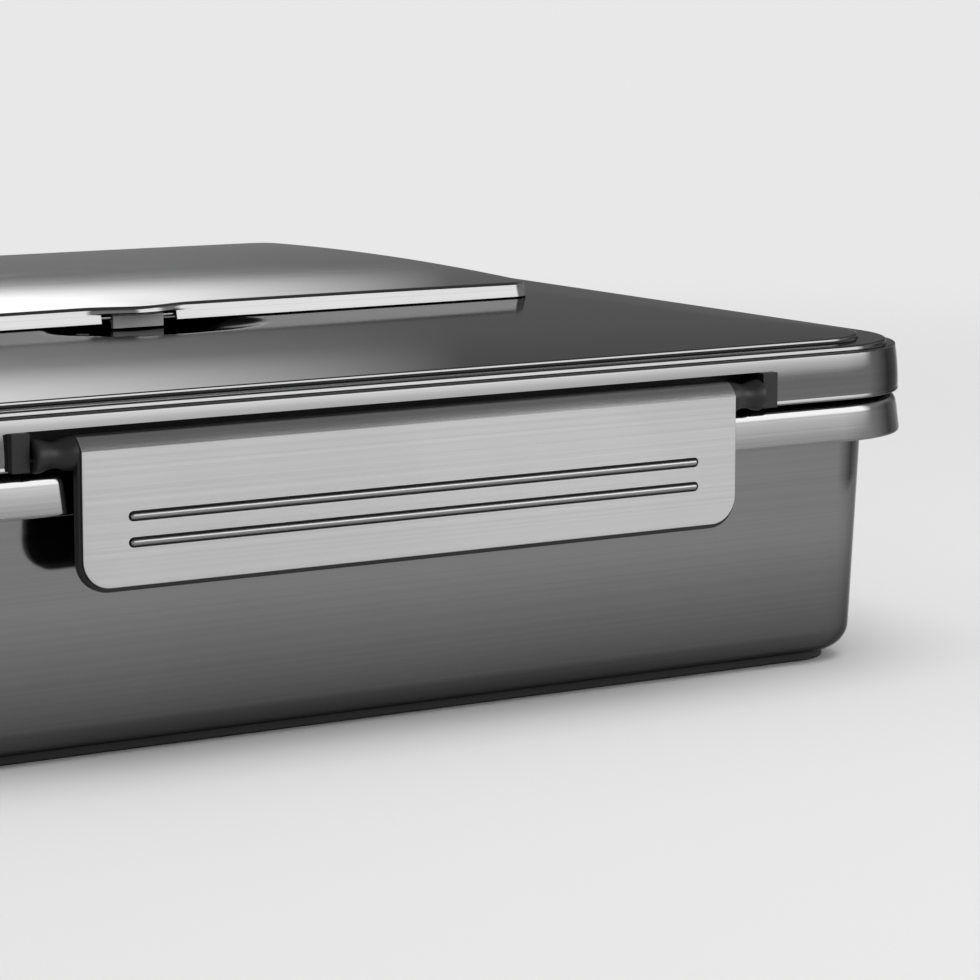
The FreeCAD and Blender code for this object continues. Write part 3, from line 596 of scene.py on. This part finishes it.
def rounded_solid(corners, half_length, corner_radius, edge_radius):
    """A profile drawn out along X, with its two lower corners and then all sharp edges rounded."""
    vertices, faces = drawn_out(corners, -half_length, half_length, along_x)
    shape = bmesh.new()
    made = [shape.verts.new(vertex) for vertex in vertices]
    for face in faces:
        shape.faces.new([made[i] for i in face])
    bmesh.ops.recalc_face_normals(shape, faces=shape.faces)
    lowest = min(z for y, z in corners)
    lower = []
    for edge in shape.edges:
        start, end = (vert.co for vert in edge.verts)
        is_low = max(start.z, end.z) - lowest < SAME_PLACE
        if is_low and abs(start.x - end.x) < SAME_PLACE:
            lower.append(edge)
    bmesh.ops.bevel(shape, geom=lower, offset=corner_radius, segments=CORNER_SEGMENTS, profile=0.5,
                    affect="EDGES")
    sharp = [edge for edge in shape.edges if edge.is_manifold and edge.calc_face_angle() > BEVEL_ANGLE]
    bmesh.ops.bevel(shape, geom=sharp, offset=edge_radius, segments=EDGE_SEGMENTS, profile=0.5,
                    affect="EDGES", clamp_overlap=True)
    return shape


def clip_line(foot, scale=1.0):
    """A clip's front from its foot up and over its head, drawn in to a scale about the hinge axis."""
    head = rounded(HEAD_FOOT, HEAD_CORNER, HEAD_TOP) + [HEAD_BACK]
    return [Vector((-CLIP_FACE * scale, foot))] + [scale * point for point in head]


def stadium(half_length, radius, middle):
    """A round-ended strip in X and Z."""
    points = []
    for x, start in ((half_length - radius, -QUARTER), (radius - half_length, QUARTER)):
        points += curve(ROUND_STEPS, lambda t: (x + radius * math.cos(start + t * math.pi),
                                                middle + radius * math.sin(start + t * math.pi)))
    return points


def clip_plate():
    """The sheet on the front of a clip, bent back over its head, with a slot for each rib."""
    foot = -CLIP_DROP + PLATE_FOOT
    corners = clip_line(foot) + clip_line(foot, CORE_SCALE)[::-1]
    solid = rounded_solid(corners, CLIP_HALF - PLATE_MARGIN, CLIP_CORNER - PLATE_MARGIN, PLATE_EDGE)
    mesh = bpy.data.meshes.new("plate")
    solid.to_mesh(mesh)
    solid.free()
    piece = link_object("plate", mesh)
    for drop in RIB_DROPS:
        slot = stadium(RIB_HALF + SLOT_GAP, RIB_RADIUS + SLOT_GAP, -drop)
        cutter = drawn_out(slot, -CLIP_REACH - CUT_MARGIN, -CLIP_FACE * CORE_SCALE + SLOT_SINK, along_y)
        carve(piece, new_piece("slot", *cutter, MATERIALS["clip_steel"]))
    shape = bmesh.new()
    shape.from_mesh(piece.data)
    bpy.data.objects.remove(piece)
    return shape


def clip_core():
    """The moulded core behind the sheet, with the knuckle that turns on the pin."""
    rear = CLIP_REACH - CLIP_THICKNESS
    knuckle = curve(KNUCKLE_STEPS, lambda t: (KNUCKLE * math.sin(t * math.pi),
                                              KNUCKLE * math.cos(t * math.pi)))
    corners = clip_line(-CLIP_DROP, CORE_SCALE) + knuckle + [(-rear, -KNUCKLE), (-rear, -CLIP_DROP)]
    return rounded_solid(corners, CLIP_HALF, CLIP_CORNER, CORE_EDGE)


def bridge(shape, loops):
    """Join loops of equal length with faces, in order."""
    count = len(loops[0])
    for here, there in zip(loops, loops[1:]):
        for i in range(count):
            after = (i + 1) % count
            shape.faces.new((here[i], here[after], there[after], there[i]))


def add_boss(shape, sign):
    """A waisted boss beyond one end of a clip."""
    body = BOSS_LENGTH - BOSS_EDGE
    narrowing = BOSS_RADIUS - BOSS_WAIST
    rim, floor = BOSS_DIMPLE
    stations = [(-BOSS_ROOT, BOSS_RADIUS)]
    stations += curve(BOSS_WAIST_STEPS, lambda t: (t * body,
                                                   BOSS_RADIUS - narrowing * math.sin(t * math.pi) ** 2))
    edge = curve(BOSS_EDGE_STEPS, lambda t: (body + BOSS_EDGE * math.sin(t * QUARTER),
                                             BOSS_RADIUS - BOSS_EDGE * (1 - math.cos(t * QUARTER))))
    stations += edge[1:]
    stations += [(BOSS_LENGTH, BOSS_RADIUS * rim), (BOSS_LENGTH - BOSS_DIMPLE_DEPTH, BOSS_RADIUS * floor)]
    loops = []
    for along, radius in stations:
        loop = []
        for i in range(BOSS_SIDES):
            angle = 2 * math.pi * i / BOSS_SIDES
            loop.append(shape.verts.new((sign * (CLIP_HALF + along), -BOSS_SHIFT + radius * math.cos(angle),
                                         BOSS_SHIFT + radius * math.sin(angle))))
        loops.append(loop)
    bridge(shape, loops)
    shape.faces.new(loops[0])
    shape.faces.new(loops[-1])


def add_rib(shape, drop):
    """A half-round rib with round ends, which stands in a slot of a clip's sheet."""
    half = RIB_HALF - RIB_RADIUS
    foot = -CLIP_FACE * CORE_SCALE
    stations = curve(RIB_STEPS, lambda t: (-half, (t - 1) * QUARTER))
    stations += curve(RIB_STEPS, lambda t: (half, t * QUARTER))
    loops = []
    for middle, turn in stations:
        radius = RIB_RADIUS * math.cos(turn)
        height = RIB_HEIGHT * math.cos(turn)
        x = middle + RIB_RADIUS * math.sin(turn)
        loop = curve(RIB_STEPS, lambda t: (x, -CLIP_FACE - height * math.sin(t * math.pi),
                                           -drop + radius * math.cos(t * math.pi)))
        loop += [(x, foot, -drop - radius), (x, foot, -drop + radius)]
        loops.append([shape.verts.new(point) for point in loop])
    bridge(shape, loops)


def clip_mesh():
    """A clip about its hinge axis: bent sheet and two ribs in front, moulded core and bosses behind."""
    plate = clip_plate()
    ribs = bmesh.new()
    for drop in RIB_DROPS:
        add_rib(ribs, drop)
    core = clip_core()
    for sign in (-1, 1):
        add_boss(core, sign)
    joined = bmesh.new()
    mesh = bpy.data.meshes.new("clip")
    layers = ((plate, "clip_steel"), (core, "frame_plastic"), (ribs, "pin_steel"))
    for number, (part, finish) in enumerate(layers):
        bmesh.ops.remove_doubles(part, verts=part.verts, dist=SAME_PLACE)
        bmesh.ops.recalc_face_normals(part, faces=part.faces)
        for face in part.faces:
            face.material_index = number
        scratch = bpy.data.meshes.new("scratch")
        part.to_mesh(scratch)
        part.free()
        joined.from_mesh(scratch)
        bpy.data.meshes.remove(scratch)
        mesh.materials.append(MATERIALS[finish])
    joined.to_mesh(mesh)
    joined.free()
    smooth(mesh, CLIP_SMOOTH_ANGLE)
    return mesh


def make_clips():
    """The same clip on each side."""
    pattern = clip_mesh()
    for side, joint_name in CLIP_JOINTS.items():
        mesh = pattern.copy()
        mesh.transform(side_matrix(joint_name))
        piece = link_object(f"{side}_clip_plate", mesh)
        weigh_normals(piece)
        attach(piece, f"{side}_clip")
        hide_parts(f"clip_{side}")
    bpy.data.meshes.remove(pattern)


def lip_bulge(x):
    """How far the finger lip reaches in front of the cover at a place along it."""
    share = min(1.0, abs(x) / LIP_HALF)
    return LIP_REACH * (1 + math.cos(math.pi * share)) / 2


def dome_fall(point):
    """How far the cover's top falls from its middle to a point."""
    x = point.x / COVER_OUTLINE[0]
    y = point.y / COVER_OUTLINE[1]
    return COVER_DOME.x * x * x + COVER_DOME.y * y * y


def cover_ring(inset, height, bulge, domed):
    """A ring of the cover, which may follow the dome and swell out in front to the finger lip."""
    points = []
    for point in inset_outline(COVER_OUTLINE, inset):
        fall = dome_fall(point) * domed
        if point.y < 0:
            point.y -= lip_bulge(point.x) * bulge
        points.append((point + COVER_MIDDLE).to_3d() + Vector((0, 0, height - fall)))
    return points


def make_cover():
    """The shallow domed cap over the cutlery tray, with its finger lip and the window under it."""
    lip_foot = COVER_TOP - LIP_THICKNESS
    ceiling = COVER_TOP - COVER_WALL - COVER_DOME.x - COVER_DOME.y
    face_foot = COVER_FOOT + COVER_BEVEL
    face_height = COVER_TOP - COVER_EDGE - COVER_DOME.y - face_foot

    def face_inset(height):
        """The lean of the wall, at a height on its front."""
        return COVER_DRAFT * (height - COVER_DOME.y - face_foot) / face_height

    above = [(COVER_BEVEL, COVER_FOOT, 0.0, 0.0), (0.0, face_foot, 0.0, 0.0)]
    above += [(face_inset(lip_foot + rise), lip_foot + rise, bulge, 1.0) for rise, bulge in LIP_ROWS]
    above += [(inset, height, 1.0, 1.0) for inset, height in quarter_roll(
        (COVER_DRAFT, COVER_TOP - COVER_EDGE), COVER_EDGE, COVER_EDGE, COVER_EDGE_STEPS)]
    above += [(inset * MM, COVER_TOP, max(0.0, 1 - inset / LIP_FADE), 1.0) for inset in COVER_TOP_INSETS]
    below = [(COVER_WALL, COVER_FOOT, 0.0, 0.0)]
    below += [(inset * MM, ceiling - drop * MM, 0.0, 0.0) for inset, drop in COVER_INSIDE]
    below.reverse()
    loops = [cover_ring(*row) for row in below + above]
    piece = new_piece("cover_panel", *skin(loops, capped=True), MATERIALS["cover_steel"])
    low = COVER_FOOT - CUT_MARGIN
    high = lip_foot - COVER_DOME.y - WINDOW_GAP
    front = COVER_MIDDLE.y - COVER_OUTLINE[1]
    outer = front - WINDOW_OUT
    inner = front + 2 * COVER_WALL
    window = drawn_out([(outer, low), (outer, high), (inner, high), (inner, low)],
                       -WINDOW_HALF, WINDOW_HALF, along_x)
    carve(piece, new_piece("window", *window, MATERIALS["cover_steel"]))
    weigh_normals(piece)
    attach(piece, "cover")
    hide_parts("compartment_cover")


def dress_node(name, material, edge=0.0):
    """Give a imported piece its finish, and round its sharp edges a little."""
    node = frame["nodes"][name]
    node.data.materials.clear()
    node.data.materials.append(MATERIALS[material])
    weld = node.modifiers.new("weld", "WELD")
    weld.merge_threshold = WELD_DISTANCE
    if edge:
        flatten = node.modifiers.new("flatten", "DECIMATE")
        flatten.decimate_type = "DISSOLVE"
        flatten.angle_limit = FLAT_ANGLE
        bevel = node.modifiers.new("edges", "BEVEL")
        bevel.width = edge
        bevel.segments = EDGE_SEGMENTS
        bevel.limit_method = "ANGLE"
        bevel.angle_limit = BEVEL_ANGLE
        weigh_normals(node)


def looked_at(tree):
    """1 for what the camera, a reflection or a view through glass meets, and 0 for plain light."""
    path = add_node(tree, "LightPath").outputs
    seen = path["Is Camera Ray"]
    for kind in ("Is Glossy Ray", "Is Transmission Ray"):
        seen = combine(tree, "MAXIMUM", seen, path[kind])
    return seen


def make_floor():
    """A pale floor that keeps the object's shadow and runs out into the background."""
    corners = ((-1, -1), (1, -1), (1, 1), (-1, 1))
    vertices = [(x * FLOOR_SIZE, y * FLOOR_SIZE, 0.0) for x, y in corners]
    material, tree = new_material("floor")
    distance = add_node(tree, "VectorMath", {0: own_place(tree)}, operation="LENGTH").outputs["Value"]
    begins, ends = FLOOR_FADE
    far = add_node(tree, "MapRange", {"Value": distance, "From Min": begins, "From Max": ends},
                   interpolation_type="SMOOTHSTEP").outputs["Result"]
    share = combine(tree, "MULTIPLY", far, looked_at(tree))
    lit = add_node(tree, "BsdfDiffuse", {"Color": grey(FLOOR_LEVEL)})
    plain = add_node(tree, "Emission", {"Color": grey(BACKGROUND), "Strength": 1.0})
    mixed = add_node(tree, "MixShader", {0: share, 1: lit.outputs["BSDF"], 2: plain.outputs["Emission"]})
    add_node(tree, "OutputMaterial", {"Surface": mixed.outputs["Shader"]})
    floor = new_piece("floor", vertices, [(0, 1, 2, 3)], material)


def make_world():
    """A pale studio that darkens overhead, seen by the camera and in reflections, and a soft fill."""
    world = bpy.data.worlds.new("studio")
    bpy.context.scene.world = world
    world.use_nodes = True
    tree = world.node_tree
    tree.nodes.clear()
    direction = add_node(tree, "TexCoord").outputs["Generated"]
    height = add_node(tree, "SeparateXYZ", {0: direction}).outputs["Z"]
    low, high = DARKENING
    level = add_node(tree, "MapRange", {"Value": height, "From Min": low, "From Max": high,
                                        "To Min": BACKGROUND, "To Max": OVERHEAD},
                     interpolation_type="SMOOTHSTEP").outputs["Result"]
    shown = add_node(tree, "Background", {"Color": level, "Strength": 1.0})
    fill = add_node(tree, "Background", {"Color": grey(1.0), "Strength": FILL})
    mixed = add_node(tree, "MixShader", {0: looked_at(tree), 1: fill.outputs["Background"],
                                         2: shown.outputs["Background"]})
    add_node(tree, "OutputWorld", {"Surface": mixed.outputs["Shader"]})


def aim(thing, azimuth, elevation, distance):
    """Place a light so that it faces the object; azimuth 0 is in front, at -Y, and 90 is at +X."""
    a = math.radians(azimuth)
    e = math.radians(elevation)
    back = Vector((math.sin(a) * math.cos(e), -math.cos(a) * math.cos(e), math.sin(e)))
    thing.location = back * distance + Vector((0, 0, AIM_HEIGHT))
    thing.rotation_mode = "QUATERNION"
    thing.rotation_quaternion = back.to_track_quat("Z", "Y")


def area_light(name, azimuth, elevation, distance, width, height, watts):
    """A lamp for the floor and the moulded pieces, which the steel doesn't mirror."""
    lamp = bpy.data.lights.new(name, "AREA")
    lamp.shape = "RECTANGLE"
    lamp.size = width
    lamp.size_y = height
    lamp.energy = watts
    light = link_object(name, lamp)
    aim(light, azimuth, elevation, distance)
    light.visible_camera = False
    light.visible_glossy = False


def glow_panel(name, azimuth, elevation, distance, width, height, level, fades):
    """A softbox or card with soft edges, seen in reflections only.

    Each fade is an axis of the panel, the place where it is clear and the place where it is full.
    """
    material, tree = new_material(name)
    axes = add_node(tree, "SeparateXYZ", {0: own_place(tree)}).outputs
    strength = 1.0
    for axis, clear, full in fades:
        fade = add_node(tree, "MapRange", {"Value": axes[axis], "From Min": clear, "From Max": full})
        strength = combine(tree, "MULTIPLY", strength, fade.outputs["Result"])
    clear_part = add_node(tree, "BsdfTransparent").outputs["BSDF"]
    glow = add_node(tree, "Emission", {"Color": grey(1.0), "Strength": level}).outputs["Emission"]
    mixed = add_node(tree, "MixShader", {0: strength, 1: clear_part, 2: glow}).outputs["Shader"]
    add_node(tree, "OutputMaterial", {"Surface": mixed})
    x = width / 2
    y = height / 2
    panel = new_piece(name, [(-x, -y, 0), (x, -y, 0), (x, y, 0), (-x, y, 0)], [(0, 1, 2, 3)], material)
    aim(panel, azimuth, elevation, distance)
    panel.visible_camera = False
    panel.visible_diffuse = False
    panel.visible_shadow = False


def make_camera():
    """The photograph's viewpoint."""
    data = bpy.data.cameras.new("camera")
    data.sensor_width = CAMERA_SENSOR
    data.lens = CAMERA_LENS
    data.clip_start, data.clip_end = CAMERA_RANGE
    camera = link_object("camera", data)
    camera.location = CAMERA_PLACE
    camera.rotation_euler = (math.radians(90 - CAMERA_ELEVATION), 0.0, math.radians(CAMERA_TURN))
    bpy.context.scene.camera = camera


make_tub()
make_lid()
make_clips()
make_cover()
dress_node("base_foot", "foot_rubber", edge=0.2 * MM)
dress_node("lid_frame", "frame_plastic", edge=0.5 * MM)
dress_node("lid_gasket", "seal_silicone", edge=0.3 * MM)
dress_node("cutlery_tray", "lid_steel")
dress_node("latch_tab", "tab_plastic", edge=0.15 * MM)
dress_node("latch_pin", "pin_steel", edge=0.08 * MM)
for hand in ("left", "right"):
    dress_node(f"cover_hinge_leaf_{hand}", "pin_steel", edge=0.12 * MM)
    dress_node(f"cover_hinge_pin_{hand}", "pin_steel", edge=0.1 * MM)
for clip_side in CLIP_JOINTS:
    dress_node(f"catch_{clip_side}", "frame_plastic", edge=0.2 * MM)
    dress_node(f"clip_pin_{clip_side}", "pin_steel", edge=0.12 * MM)
make_floor()
make_world()
glow_panel("front_softbox", azimuth=38.0, elevation=17.5, distance=1.3, width=1.3, height=0.76, level=4.1,
           fades=(("Y", -0.38, -0.19), ("X", -0.65, -0.4), ("X", 0.65, 0.4)))
glow_panel("back_softbox", azimuth=168.0, elevation=19.0, distance=1.5, width=2.2, height=0.64, level=4.3,
           fades=(("Y", -0.295, -0.24), ("Y", 0.32, 0.2), ("X", -0.63, -0.3)))
glow_panel("grey_card", azimuth=150.0, elevation=12.0, distance=1.7, width=2.8, height=0.75, level=0.28,
           fades=(("X", -1.4, -1.05), ("X", 1.4, 1.05), ("Y", 0.375, 0.25)))
glow_panel("dark_card", azimuth=70.0, elevation=0.0, distance=0.27, width=0.18, height=0.12, level=0.22,
           fades=(("X", -0.09, 0.0), ("X", 0.09, 0.0), ("Y", 0.06, 0.03)))
area_light("key", azimuth=38.0, elevation=30.0, distance=1.3, width=1.0, height=0.7, watts=4.0)
area_light("overhead", azimuth=10.0, elevation=78.0, distance=1.6, width=1.4, height=1.4, watts=14.0)
make_camera()
bpy.context.scene.view_settings.view_transform = "Standard"
